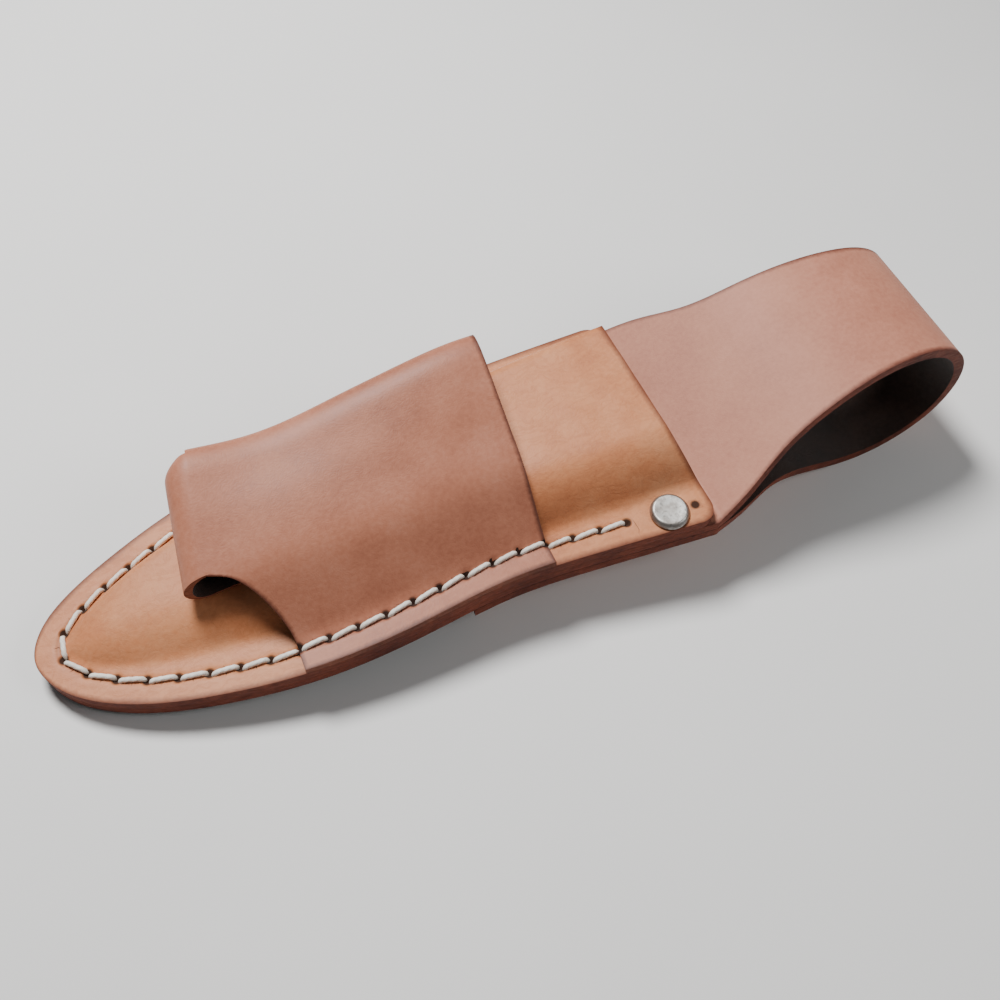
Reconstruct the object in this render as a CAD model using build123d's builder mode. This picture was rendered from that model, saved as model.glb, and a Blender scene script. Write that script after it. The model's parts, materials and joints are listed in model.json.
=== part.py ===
from build123d import *
from math import atan2, cos, degrees, hypot, radians, sin, tan
import os

# Leather tool sheath. A back panel whose neck folds round into a belt loop, a moulded front
# pocket sewn round its toe, and a second pocket with a folded bottom sewn over the first.
# All lengths in mm. It is built with the underside of the back panel in the plane Z = 0,
# +X from the toe to the belt loop and +Y away from the rivet, and at the end it is laid
# down so that the toe and the belt loop rest on Z = 0.

# ---- driving dimensions ----
leather = 3.0            # back panel and front pocket
overlay_leather = 2.0    # the pocket on top
glue_line = 0.2          # between the back panel and the sewn end of the belt loop

body_length = 159.0      # from the tip of the toe to the mouth
body_width = 65.0        # across the mouth
mouth_x = 45.0           # mouth of the front pocket
mouth_corner = 5.0       # rounding of the mouth's corners
mouth_lean = 19.0        # degrees that the mouth leans back as it rises

# the body's edge, drawn for a body of this length and width, and stretched with them
drawn_size = (159.0, 65.0)
toe = (-114.0, 3.0)      # tip of the rounded toe
mouth_edges = (-30.0, 35.0)
near_edge = [(-111.6, -4.3), (-101, -13.8), (-79, -22), (-55, -25.9), (-30, -25.7), (-8, -24.4), (15, -26.3)]
far_edge = [(-111.2, 9.8), (-103.9, 15.9), (-91.8, 21.7), (-78, 26.6), (-58, 31.2), (-28, 34.4), (8, 35.6)]

strap_near_y = -17.4     # edges of the strap at the fold of the belt loop
strap_far_y = 20.4
# places along the neck, and how much of the way from body to strap its near and far edges have come in
neck = [(55, 0.222, 0.233), (66, 0.563, 0.603), (80, 0.794, 0.808), (100, 0.952, 0.959)]
neck_rise = 20.6         # highest point of the belt loop's middle line
neck_top_x = 102.0
loop_drop = 21.0         # its lowest point, below Z = 0
loop_low_x = 109.0
loop_end_x = 126.6       # its outermost point
loop_start_x = 46.5      # where the strap leaves the body, above and below

# the loop's middle line between its named points, above and below
rise_points = [(58, 7.6), (78, 17)]
round_points = [(119, 14.2), (122.5, -14.5)]
return_points = [(86, -14.6), (66, -4.8)]

# the front pocket's raised middle: x, distance in from the near and the far seam, height above the flange
bulge = [(47, 6.18, 0.73, 10), (27, 4.94, 1.35, 9.8), (7, 4.4, 3.09, 9.5), (-13, 5, 4.05, 9),
         (-33, 6.78, 3.95, 8.4), (-53, 7.72, 3.83, 7.5), (-71, 7.16, 3.4, 6.3), (-87, 5.96, 2.75, 4.8),
         (-99, 4.83, 2.69, 2.6), (-105, 4.93, 3.52, 0.8)]
bulge_top = 0.55         # share of its width at which it is highest
near_slope = (0.6, 0.4)  # how upright and how rounded its near wall is
far_slope = (0.8, 0.15)  # and its far wall

overlay_near_x = 3.0     # mouth of the top pocket, on the near seam
overlay_far_x = 6.5      # and on the far seam
overlay_stitches = 9     # stitches that hold each side of it
overlay_near_in = 1.4    # from the near seam to where its near wall leaves the flange
overlay_ridge_in = 13.5  # from there to where the near wall turns into the roof
overlay_far_in = 1.1     # from the far seam to its far wall
overlay_lift = 7.5       # room under its folded bottom, above the flange
overlay_roof_rise = 6.9  # of its roof, from the near wall to the far wall
overlay_bends = [9, 9, 4, 1.6]
fold_x = -77.0           # outermost line of its folded bottom, on the near side
fold_slant = 11.0        # degrees that the fold turns away from square
fold_radius = 4.4        # outside of the fold
fold_under = 24.0        # how far the leather runs back inside
fold_in = 3.0            # from the roof's near bend to the fold
fold_far_in = 1.2        # and from the fold to its far bend

stitch_inset = 5.5       # from the edge to the line of stitch holes
stitch_pitch = 6.95
stitch_hole = 1.5        # diameter
thread = 1.1             # diameter
thread_gap = 0.08        # between thread and leather
sunk = (0.55, 1.15)      # depth of the stitches in the leather; those below lie in a groove, clear of a belt
stitch_margin = 4.0      # least length of seam before the first hole
tail_stitches = 3        # stitches from the top pocket's mouth back to the end of the strap

rivet_x = 34.2
rivet_shift = -0.6        # of the rivet from the seam, towards the edge
rivet_cap = 9.8          # diameter
rivet_cap_height = 1.7
rivet_back = 8.4         # diameter of its head behind
rivet_back_height = 1.2
rivet_back_sunk = 0.1    # from the leather's face to that head, which is pressed into it
rivet_rim = 0.7          # bevel
rivet_shank = 3.0        # diameter
rivet_fit = 0.1          # round the shank and between cap and leather
rivet_press = 0.02       # round the shank inside the cap

flange = leather * 2                      # upper face of the front pocket's flange
overlay_flange = flange + overlay_leather
tail_top = -glue_line
tail_bottom = tail_top - leather
tall = 200.0                              # more than the sheath is wide or high
past_end = 25.0                           # clear of the end that a cut takes off

overlay_ridge_z = flange + overlay_lift + 2 * fold_radius
overlay_far_z = overlay_ridge_z + overlay_roof_rise


# ---- outline of the body and its seam ----
def stretched(x, y):
    """A point of the drawn edge on a body of the set length and width."""
    return mouth_x - (mouth_x - x) * body_length / drawn_size[0], y * body_width / drawn_size[1]


toe_x, toe_y = stretched(*toe)
mouth_near_y, mouth_far_y = (stretched(mouth_x, y)[1] for y in mouth_edges)


def body_line():
    """Edge of the body from the near corner of its mouth round the toe to the far corner."""
    around_toe = [stretched(*p) for p in [*reversed(near_edge), toe, *far_edge]]
    return Spline((mouth_x, mouth_near_y), *around_toe, (mouth_x, mouth_far_y))


def seam_points(steps=240):
    """Points along the line of stitch holes, which runs inside the body's edge."""
    edge = body_line()
    points = []
    for i in range(steps + 1):
        place = edge.position_at(i / steps)
        direction = edge.tangent_at(i / steps)
        points.append(place + Vector(direction.Y, -direction.X) * stitch_inset)
    return points


def lengths_along(points):
    runs = [0]
    for a, b in zip(points, points[1:]):
        runs.append(runs[-1] + (b - a).length)
    return runs


def point_at(length):
    """Point of the seam at this length along it."""
    i = max(k for k in range(len(seam) - 1) if runs[k] <= length)
    return seam[i] + (seam[i + 1] - seam[i]) * ((length - runs[i]) / (runs[i + 1] - runs[i]))


def length_at(x, side):
    """Length along the seam to where it passes this x, on the near (-1) or the far (1) side."""
    for i in range(len(seam) - 1):
        a, b = seam[i], seam[i + 1]
        if (a.X - x) * (b.X - x) <= 0 and (a.Y - toe_y) * side > 0:
            return runs[i] + (runs[i + 1] - runs[i]) * (x - a.X) / (b.X - a.X)
    raise ValueError("the seam does not reach this x")


seam = seam_points()
runs = lengths_along(seam)
near_mouth = length_at(overlay_near_x, -1)
far_mouth = length_at(overlay_far_x, 1)
around = round((far_mouth - near_mouth) / stitch_pitch)      # stitches round the toe
pitch = (far_mouth - near_mouth) / around
before = int((near_mouth - stitch_margin) / pitch)           # holes from the body's mouth
after = int((runs[-1] - stitch_margin - far_mouth) / pitch)
holes = [point_at(near_mouth + i * pitch) for i in range(-before, around + after + 1)]

# numbers of the holes where the top pocket and the strap end
near_mouth_hole = before
far_mouth_hole = before + around
near_toe_hole = near_mouth_hole + overlay_stitches
far_toe_hole = far_mouth_hole - overlay_stitches
near_tail_hole = near_mouth_hole + tail_stitches
far_tail_hole = far_mouth_hole - tail_stitches


# the rivet stands on the seam's line, at the near corner of the mouth
rivet_y = point_at(length_at(rivet_x, -1)).Y + rivet_shift
clear_of_rivet = rivet_cap / 2 + thread
rivet_head_face = tail_bottom + rivet_back_sunk + rivet_back_height


def is_open(i):
    """True for a stitch hole that the rivet does not take the place of."""
    return hypot(holes[i].X - rivet_x, holes[i].Y - rivet_y) > clear_of_rivet


stitch_holes = [i for i in range(len(holes)) if is_open(i)]
hole_places = [(holes[i].X, holes[i].Y) for i in stitch_holes]


def lies_on(i):
    """Height of the leather under the stitch from hole i to the next one, above and below."""
    on_overlay = near_mouth_hole <= i < near_toe_hole or far_toe_hole <= i < far_mouth_hole
    under_tail = i < near_tail_hole or i >= far_tail_hole
    return overlay_flange if on_overlay else flange, tail_bottom if under_tail else 0


# ---- one stitch, and the places of all of them ----
leg = thread / 2 - 0.1                    # radius of the thread in a hole
stitch_end = stitch_hole / 2 + thread / 2


def rounded_rod(radius):
    """A stitch's thread, or with a larger radius the hollow that it presses in the leather."""
    run = pitch - 2 * stitch_end + leg
    rod = Plane.YZ * Cylinder(radius, run, align=(Align.CENTER, Align.CENTER, Align.MIN))
    return rod + Sphere(radius) + Pos(run, 0, 0) * Sphere(radius)


def stitch_places(side):
    """Where each stitch starts, above (0) or below (1) the leather."""
    places = []
    for i, j in zip(stitch_holes, stitch_holes[1:]):
        if j != i + 1:
            continue
        ahead = (holes[j] - holes[i]).normalized()
        lift = lies_on(i)[side] + (thread / 2 - sunk[side]) * (1, -1)[side]
        start = holes[i] + ahead * leg + Vector(0, 0, lift)
        places.append(Plane(origin=start, x_dir=ahead, z_dir=(0, 0, 1)))
    return places


stitch_shape = rounded_rod(thread / 2)
stitch_hollow = rounded_rod(thread / 2 + thread_gap)


# ---- back panel with its neck and belt loop, one strip of leather ----
with BuildPart() as back_panel:
    with BuildSketch(Plane.XZ) as strip:
        with BuildLine():
            middle = leather / 2
            Line((toe_x - leather, middle), (loop_start_x, middle))
            Spline(
                (loop_start_x, middle),
                *rise_points,
                (neck_top_x, neck_rise),
                round_points[0],
                (loop_end_x, 0),
                round_points[1],
                (loop_low_x, -loop_drop),
                *return_points,
                (loop_start_x, tail_bottom + middle),
            )
            Line((loop_start_x, tail_bottom + middle), (holes[near_tail_hole].X - leather, tail_bottom + middle))
        trace(line_width=leather)
    extrude(amount=tall / 2, both=True)
    with BuildSketch(Plane.XY.offset(-tall / 2)) as plan:
        with BuildLine():
            body_line()
            past_loop = loop_end_x + past_end
            near_neck = [(x, mouth_near_y + (strap_near_y - mouth_near_y) * share) for x, share, _ in neck]
            far_neck = [(x, mouth_far_y + (strap_far_y - mouth_far_y) * share) for x, _, share in neck]
            Spline((mouth_x, mouth_near_y), *near_neck, (past_loop, strap_near_y))
            Line((past_loop, strap_near_y), (past_loop, strap_far_y))
            Spline((past_loop, strap_far_y), *reversed(far_neck), (mouth_x, mouth_far_y))
        make_face()
    extrude(amount=tall, mode=Mode.INTERSECT)
    # the strap ends square under the body, at a stitch hole on each side
    with BuildSketch(Plane.XY.offset(tail_top / 2)) as beyond_tail:
        near_end, far_end = holes[near_tail_hole], holes[far_tail_hole]
        with BuildLine():
            Polyline(
                (near_end.X, near_end.Y),
                (far_end.X, far_end.Y),
                (far_end.X, tall / 2),
                (toe_x - past_end, tall / 2),
                (toe_x - past_end, -tall / 2),
                (near_end.X, -tall / 2),
                close=True,
            )
        make_face()
    extrude(amount=-leather - 1, mode=Mode.SUBTRACT)
    with Locations(*hole_places):
        Cylinder(stitch_hole / 2, tall, mode=Mode.SUBTRACT)
    with Locations(*stitch_places(1)):
        add(stitch_hollow, mode=Mode.SUBTRACT)
    with Locations((rivet_x, rivet_y)):
        Cylinder(rivet_shank / 2 + rivet_fit, leather * 4, mode=Mode.SUBTRACT)
    with Locations((rivet_x, rivet_y, tail_bottom)):
        Cylinder(rivet_back / 2 + rivet_fit, (rivet_head_face + rivet_fit - tail_bottom) * 2, mode=Mode.SUBTRACT)
back_panel.part.label = "back_panel"


# ---- moulded front pocket ----
def bulge_section(near_y, far_y, height, wall):
    """Section of the pocket's hollow side up, from the back panel's face; wall is taken off it."""
    near_y, far_y = near_y + wall, far_y - wall
    base = leather
    peak = flange + height - wall
    middle_y = near_y + (far_y - near_y) * bulge_top
    Bezier((near_y, base), (near_y, base + (peak - base) * near_slope[0]),
           (near_y + (middle_y - near_y) * near_slope[1], peak), (middle_y, peak))
    Bezier((middle_y, peak), (far_y - (far_y - middle_y) * far_slope[1], peak),
           (far_y, base + (peak - base) * far_slope[0]), (far_y, base))
    Line((far_y, base), (near_y, base))


def bulge_places():
    """x, near wall, far wall and height of each section of the raised middle."""
    places = []
    for x, near_in, far_in, height in bulge:
        x = stretched(x, 0)[0]
        on_seam = min(x, mouth_x - 1)
        near_y = point_at(length_at(on_seam, -1)).Y + near_in
        far_y = point_at(length_at(on_seam, 1)).Y - far_in
        places.append((x, near_y, far_y, height))
    return places


mouth_plane = Plane(
    origin=(mouth_x, 0, flange),
    z_dir=(cos(radians(mouth_lean)), 0, sin(radians(mouth_lean))),
)

with BuildPart() as front_pocket:
    with BuildSketch(Plane.XY.offset(leather)):
        with BuildLine():
            edge = body_line()
            Line(edge @ 1, edge @ 0)
        make_face()
        corners = vertices().sort_by(Axis.X)[-2:]
        fillet(corners, mouth_corner)
    extrude(amount=leather)
    for x, near_y, far_y, height in bulge_places():
        with BuildSketch(Plane.YZ.offset(x)):
            with BuildLine():
                bulge_section(near_y, far_y, height, 0)
            make_face()
    loft()
    for x, near_y, far_y, height in bulge_places()[:-1]:
        with BuildSketch(Plane.YZ.offset(x)):
            with BuildLine():
                bulge_section(near_y, far_y, height, leather)
            make_face()
    loft(mode=Mode.SUBTRACT)
    split(bisect_by=mouth_plane, keep=Keep.BOTTOM)
    with Locations(*hole_places):
        Cylinder(stitch_hole / 2, leather * 6, mode=Mode.SUBTRACT)
    with Locations((rivet_x, rivet_y)):
        Cylinder(rivet_shank / 2 + rivet_fit, leather * 6, mode=Mode.SUBTRACT)
    with Locations(*stitch_places(0)):
        add(stitch_hollow, mode=Mode.SUBTRACT)
front_pocket.part.label = "front_pocket"


# ---- pocket on top, with its folded bottom ----
near_hole, far_hole = holes[near_toe_hole], holes[far_toe_hole]
near_corner, far_corner = holes[near_mouth_hole], holes[far_mouth_hole]
overlay_near_y = near_corner.Y + overlay_near_in
overlay_ridge_y = overlay_near_y + overlay_ridge_in
overlay_far_y = far_corner.Y - overlay_far_in
ridge_slope = atan2(overlay_far_z - overlay_ridge_z, overlay_far_y - overlay_ridge_y)
half = overlay_leather / 2
fold_middle = fold_radius - half                 # of the leather's middle line
fold_direction = Vector(tan(radians(fold_slant)), 1, tan(ridge_slope))
fold_near_y = overlay_ridge_y + fold_in          # the fold lies between the roof's two bends
fold_far_y = overlay_far_y - overlay_bends[2] - fold_far_in
fold_start = Vector(
    fold_x + fold_radius,
    fold_near_y,
    overlay_ridge_z - half + (fold_near_y - overlay_ridge_y) * tan(ridge_slope),
)
roof_end_far_x = fold_start.X + (overlay_far_y - fold_near_y) * tan(radians(fold_slant))
mouth_turn = atan2(far_corner.X - near_corner.X, far_corner.Y - near_corner.Y)

with BuildPart() as overlay_pocket:
    with BuildSketch(Plane.YZ.offset(-tall / 2)) as wall_line:
        with BuildLine():
            FilletPolyline(
                (-tall / 4, flange + half),
                (overlay_near_y, flange + half),
                (overlay_ridge_y, overlay_ridge_z - half),
                (overlay_far_y, overlay_far_z - half),
                (overlay_far_y, flange + half),
                (tall / 4, flange + half),
                radius=overlay_bends,
            )
        trace(line_width=overlay_leather)
    extrude(amount=tall)
    # its toe end: seams that stop at a stitch hole, sloping cuts, and the roof's end at the fold
    with BuildSketch(Plane.XY):
        with BuildLine():
            Polyline(
                (-tall, -tall / 2),
                (near_hole.X, -tall / 2),
                (near_hole.X, near_hole.Y),
                (fold_start.X, fold_start.Y),
                (roof_end_far_x, overlay_far_y),
                (roof_end_far_x, overlay_far_y + half),
                (far_hole.X, overlay_far_y + half),
                (far_hole.X, tall / 2),
                (-tall, tall / 2),
                close=True,
            )
        make_face()
    extrude(amount=tall / 4, mode=Mode.SUBTRACT)
    with BuildSketch(Plane.XZ.offset(-overlay_far_y + overlay_bends[2])):
        with BuildLine():
            Polyline(
                (roof_end_far_x - past_end, overlay_far_z - fold_radius * 2),
                (roof_end_far_x, overlay_far_z - fold_radius * 2),
                (far_hole.X, flange),
                (roof_end_far_x - past_end, flange),
                close=True,
            )
        make_face()
    extrude(amount=-tall / 4, mode=Mode.SUBTRACT)
    # the fold and the leather inside it
    fold_plane = Plane(
        origin=fold_start,
        x_dir=Vector(1, 0, 0) - fold_direction * (fold_direction.X / fold_direction.length**2),
        z_dir=fold_direction,
    )
    with BuildSketch(fold_plane) as fold_section:
        with BuildLine():
            Line((half, 0), (0, 0))
            CenterArc((0, fold_middle), fold_middle, -90, -180)
            Line((0, 2 * fold_middle), (fold_under, 2 * fold_middle))
        trace(line_width=overlay_leather)
    extrude(amount=(fold_far_y - fold_near_y) * fold_direction.length)
    # its mouth runs between the stitch holes at its corners
    split(
        bisect_by=Plane(
            origin=(near_corner.X, near_corner.Y, 0),
            z_dir=(cos(mouth_turn), -sin(mouth_turn), 0),
        ),
        keep=Keep.BOTTOM,
    )
    with BuildSketch(Plane.XY) as plan:
        with BuildLine():
            edge = body_line()
            Line(edge @ 1, edge @ 0)
        make_face()
    extrude(amount=tall / 4, mode=Mode.INTERSECT)
    with Locations(*hole_places):
        Cylinder(stitch_hole / 2, leather * 6, mode=Mode.SUBTRACT)
    with Locations(*stitch_places(0)):
        add(stitch_hollow, mode=Mode.SUBTRACT)
overlay_pocket.part.label = "overlay_pocket"


# ---- threads: one along each side of the seam, locked together in the holes ----
with BuildPart() as upper_thread:
    with Locations(*stitch_places(0)):
        add(stitch_shape)
upper_thread.part.label = "upper_thread"

with BuildPart() as lower_thread:
    with Locations(*stitch_places(1)):
        add(stitch_shape)
lower_thread.part.label = "lower_thread"


# ---- rivet: a shank with its own head behind the leather, and the cap pressed on in front ----
with BuildPart() as rivet_post:
    with BuildSketch(Plane.XZ.offset(-rivet_y)) as half_post:
        with BuildLine():
            Polyline(
                (rivet_x, rivet_head_face - rivet_back_height),
                (rivet_x + rivet_back / 2 - rivet_rim, rivet_head_face - rivet_back_height),
                (rivet_x + rivet_back / 2, rivet_head_face - rivet_back_height + rivet_rim),
                (rivet_x + rivet_back / 2, rivet_head_face),
                (rivet_x + rivet_shank / 2, rivet_head_face),
                (rivet_x + rivet_shank / 2, flange + rivet_cap_height / 2),
                (rivet_x, flange + rivet_cap_height / 2),
                close=True,
            )
        make_face()
    revolve(axis=Axis((rivet_x, rivet_y, 0), (0, 0, 1)))
rivet_post.part.label = "rivet_post"

with BuildPart() as rivet_cap_piece:
    with Locations((rivet_x, rivet_y, flange + rivet_fit)):
        Cylinder(rivet_cap / 2, rivet_cap_height, align=(Align.CENTER, Align.CENTER, Align.MIN))
    chamfer(edges().group_by(Axis.Z)[-1], rivet_rim)
    with Locations((rivet_x, rivet_y, flange + rivet_fit)):
        Cylinder(
            rivet_shank / 2 + rivet_press,
            rivet_cap_height / 2,
            align=(Align.CENTER, Align.CENTER, Align.MIN),
            mode=Mode.SUBTRACT,
        )
rivet_cap_piece.part.label = "rivet_cap"


# ---- lay it down: the toe and the belt loop rest on Z = 0, the middle of its box above the origin ----
pieces = [back_panel, front_pocket, overlay_pocket, upper_thread, lower_thread, rivet_post, rivet_cap_piece]
names = ["back_panel", "front_pocket", "overlay_pocket", "upper_thread", "lower_thread", "rivet_post", "rivet_cap"]
lowest = -loop_drop - leather / 2
lie = degrees(atan2(-lowest, loop_low_x - toe_x))
turned = Location((0, 0, 0), (0, -lie, 0))
box = Compound([turned * piece.part for piece in pieces]).bounding_box()
laid = Pos(-(box.min.X + box.max.X) / 2, -(box.min.Y + box.max.Y) / 2, -box.min.Z) * turned

os.makedirs("parts", exist_ok=True)
for piece, name in zip(pieces, names):
    piece.part = laid * piece.part
    piece.part.label = name
    export_step(piece.part, f"parts/{name}.step")
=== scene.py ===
import json
import math
import bmesh
import bpy
import numpy as np
from mathutils import Matrix, Vector


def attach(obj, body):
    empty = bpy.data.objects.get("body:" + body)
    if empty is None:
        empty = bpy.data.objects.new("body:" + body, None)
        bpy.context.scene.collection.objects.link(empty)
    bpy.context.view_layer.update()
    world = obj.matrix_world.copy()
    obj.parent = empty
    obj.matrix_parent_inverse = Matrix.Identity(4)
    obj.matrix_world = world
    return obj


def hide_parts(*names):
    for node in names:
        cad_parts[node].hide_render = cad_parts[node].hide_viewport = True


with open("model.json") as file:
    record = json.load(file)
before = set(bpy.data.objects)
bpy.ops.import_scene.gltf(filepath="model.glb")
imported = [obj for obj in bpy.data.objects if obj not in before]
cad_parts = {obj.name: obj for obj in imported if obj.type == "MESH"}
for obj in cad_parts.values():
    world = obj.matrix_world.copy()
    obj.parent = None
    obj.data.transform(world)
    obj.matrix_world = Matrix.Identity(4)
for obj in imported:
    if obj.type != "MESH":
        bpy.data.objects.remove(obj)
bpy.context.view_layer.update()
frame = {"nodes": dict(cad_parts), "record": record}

print("frame loaded:", sorted(frame["nodes"]))

mm = 0.001
joining = {"points": 0.02, "edges": 0.005}   # mm within which points, or the ends of an edge, are one

# The sheath is shaped in its own body frame, in mm: x from toe to belt loop, y away from the rivet,
# z up from the underside of the back panel. The back_rest mount says how that frame lies in the row.
mounts = {m["name"]: m for m in frame["record"]["mounts"]}
restPoint = np.array([14.0, 4.0, -3.2])  # where back_rest is in the body frame
restAxis = mounts["back_rest"]["axis"]
bodyAxes = np.array([[-restAxis[2], 0, restAxis[0]], [0, 1, 0], [-restAxis[0], 0, -restAxis[2]]])
bodyOrigin = np.array(mounts["back_rest"]["pos_m"]) - (restPoint * mm) @ bodyAxes


# body frame in mm to the row's frame in metres: the point times the axes, plus the origin
def toRow(points):
    return (np.asarray(points, float) * mm) @ bodyAxes + bodyOrigin


# Natural cubic spline through points, with the distance between them as its parameter. Each span is
# (m0 u^3 + m1 v^3) / 6h plus a straight part, with u and v the distances to its far and its near end, h their
# sum, and m0 and m1 the bends there, solved for so that the slope is the same on both sides of a point.
def splineThrough(points, count):
    p = np.asarray(points, float)
    t = np.concatenate([[0], np.cumsum(np.linalg.norm(np.diff(p, axis=0), axis=1))])
    h = np.diff(t)
    n = len(p)
    a = np.eye(n)
    b = np.zeros_like(p)
    for i in range(1, n - 1):
        a[i, i - 1:i + 2] = h[i - 1], 2 * (h[i - 1] + h[i]), h[i]
        b[i] = 6 * ((p[i + 1] - p[i]) / h[i] - (p[i] - p[i - 1]) / h[i - 1])
    m = np.linalg.solve(a, b)
    s = np.linspace(0, t[-1], count)
    k = np.clip(np.searchsorted(t, s, side="right") - 1, 0, n - 2)
    u, v, g = (t[k + 1] - s)[:, None], (s - t[k])[:, None], h[k][:, None]
    bend = (m[k] * u**3 + m[k + 1] * v**3) / (6 * g)
    return bend + (p[k] / g - m[k] * g / 6) * u + (p[k + 1] / g - m[k + 1] * g / 6) * v


# distance along a line from its start to each of its points
def lengthAlong(line):
    return np.concatenate([[0], np.cumsum(np.linalg.norm(np.diff(line, axis=0), axis=1))])


# places on a line at given distances from its start
def atLength(line, lengths):
    run = lengthAlong(line)
    return np.stack([np.interp(lengths, run, line[:, k]) for k in range(line.shape[1])], -1)


# 0 below low, 1 above high, and between them t * t * (3 - 2 * t) of the share t of the way
def fade(low, high, x):
    t = np.clip((x - low) / (high - low), 0, 1)
    return t * t * (3 - 2 * t)


# gentle unevenness of worked leather: the mean of a few sine waves of different directions, about -1 to 1
def unevenness(x, y, size, seed, waves=6, fullTurn=6.28):
    draw = np.random.default_rng(seed)
    total = np.zeros_like(x, dtype=float)
    for k in range(waves):
        turn = draw.uniform(0, math.pi)
        rate = draw.uniform(0.6, 1.7) / size
        start = draw.uniform(0, fullTurn)
        total += np.sin((x * math.cos(turn) + y * math.sin(turn)) * rate * fullTurn + start)
    return total / waves


# Quads of a grid of points. A face's corners go down the rows and then across, and a tube's last column joins
# its first.
def gridQuads(rows, cols, tube=False):
    index = np.arange(rows * cols).reshape(rows, cols)
    if tube:
        index = np.hstack([index, index[:, :1]])
    return np.stack([index[:-1, :-1], index[1:, :-1], index[1:, 1:], index[:-1, 1:]], -1).reshape(-1, 4)


# Mesh of a grid of points (rows, columns, 3) in the body frame, with the faces where keep is true. Flip turns
# the faces over.
def gridPiece(name, points, keep=None, flip=False, tube=False, layers=None, join=False):
    rows, cols = points.shape[:2]
    quads = gridQuads(rows, cols, tube)
    if keep is not None:
        quads = quads[keep.reshape(-1)]
    return pieceFrom(name, points.reshape(-1, 3), quads[:, ::-1] if flip else quads, layers, join)


# mesh of points and quads, with its layers of values; join closes seams and poles
def pieceFrom(name, points, quads, layers=None, join=False):
    used, quads = np.unique(quads, return_inverse=True)
    mesh = bpy.data.meshes.new(name)
    mesh.from_pydata(toRow(points[used]), [], quads.reshape(-1, 4).tolist())
    for key, values in (layers or {}).items():
        values = np.asarray(values, float).reshape(-1)[used]
        mesh.attributes.new(key, "FLOAT", "POINT").data.foreach_set("value", values)
    if join:
        shape = bmesh.new()
        shape.from_mesh(mesh)
        bmesh.ops.remove_doubles(shape, verts=shape.verts, dist=joining["points"] * mm)
        bmesh.ops.dissolve_degenerate(shape, edges=shape.edges, dist=joining["edges"] * mm)
        shape.to_mesh(mesh)
        shape.free()
    return smoothPiece(name, mesh)


# puts a finished mesh into the scene, shaded smooth
def smoothPiece(name, mesh):
    mesh.validate()
    mesh.polygons.foreach_set("use_smooth", np.ones(len(mesh.polygons), bool))
    piece = bpy.data.objects.new(name, mesh)
    bpy.context.scene.collection.objects.link(piece)
    return piece


# gives a skin the thickness of the leather, in from its grain side, and rounds its cut edges
def makeLeather(piece, thickness, rounding, materials):
    for material in materials:
        piece.data.materials.append(material)
    solid = piece.modifiers.new("thickness", "SOLIDIFY")
    solid.thickness = thickness * mm
    solid.offset = -1
    solid.use_even_offset = False
    solid.use_quality_normals = True
    solid.material_offset = 1
    solid.material_offset_rim = 2
    bevel = piece.modifiers.new("rounded edges", "BEVEL")
    bevel.limit_method = "ANGLE"
    bevel.angle_limit = math.radians(60)
    bevel.width = rounding * mm
    bevel.segments = 3
    bevel.use_clamp_overlap = True


def register(piece, node):
    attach(piece, "root")
    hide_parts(node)


# outline and seam of the body, in mm

body = {
    "toe": (-114.0, 3.0),
    "near": [(-111.6, -4.3), (-101, -13.8), (-79, -22), (-55, -25.9), (-30, -25.7), (-8, -24.4),
             (15, -26.3)],
    "far": [(-111.2, 9.8), (-103.9, 15.9), (-91.8, 21.7), (-78, 26.6), (-58, 31.2), (-28, 34.4), (8, 35.6)],
    "mouth": (45.0, -30.0, 35.0),   # x, near edge, far edge
    "corner": 5.0,                  # rounding of the front pocket's corners there
    "leather": 3.0,
    "topLeather": 2.0,
    "glueLine": 0.2,
}
flange = 2 * body["leather"]
topFlange = flange + body["topLeather"]
tailTop = -body["glueLine"]
mouthX, mouthNear, mouthFar = body["mouth"]

# the edge runs from the mouth's near corner round the toe to its far corner
edgeLine = splineThrough(
    [(mouthX, mouthNear)] + body["near"][::-1] + [body["toe"]] + body["far"] + [(mouthX, mouthFar)], 2400)
toeAt = int(np.argmin(edgeLine[:, 0]))
toeTip = edgeLine[toeAt, 0]
nearLine, farLine = edgeLine[:toeAt + 1], edgeLine[toeAt:][::-1]   # both from the mouth to the toe


# y of the body's near and far edge at x
def nearEdge(x):
    return np.interp(-x, -nearLine[:, 0], nearLine[:, 1])


def farEdge(x):
    return np.interp(-x, -farLine[:, 0], farLine[:, 1])


seam = {
    "inset": 5.5,
    "pitch": 6.95,
    "margin": 4.0,
    "nearMouth": 3.0,     # x of the holes at the corners of the top pocket's mouth
    "farMouth": 6.5,
    "pocketStitches": 9,
    "tailStitches": 3,
    "spareHole": (41.0, -24.4),   # an unused one past the rivet
    "spareReach": 2.0,    # mm round it where it is the nearest hole
    "unused": 2,          # places at the near end of the seam that the rivet takes up
    "groove": 0.35,       # depth that the thread has pressed into the leather
    "grooveWidth": 0.8,
    "pit": 0.9,           # and at a hole
    "pitWidth": (0.7, 0.8),       # across and along the seam
    "away": 9.0,          # mm to a hole that reads as none
}
tangent = np.gradient(edgeLine, axis=0)
tangent /= np.linalg.norm(tangent, axis=1)[:, None]
seamLine = edgeLine + np.stack([tangent[:, 1], -tangent[:, 0]], -1) * seam["inset"]
seamRun = lengthAlong(seamLine)
onNear = np.arange(len(seamLine)) < toeAt
sNear = np.interp(-seam["nearMouth"], -seamLine[onNear, 0], seamRun[onNear])
sFar = np.interp(seam["farMouth"], seamLine[~onNear, 0], seamRun[~onNear])
around = round((sFar - sNear) / seam["pitch"])
pitch = (sFar - sNear) / around
firstHole = -int((sNear - seam["margin"]) / pitch)
lastHole = around + int((seamRun[-1] - seam["margin"] - sFar) / pitch)
firstSewn = firstHole + seam["unused"]


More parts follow.
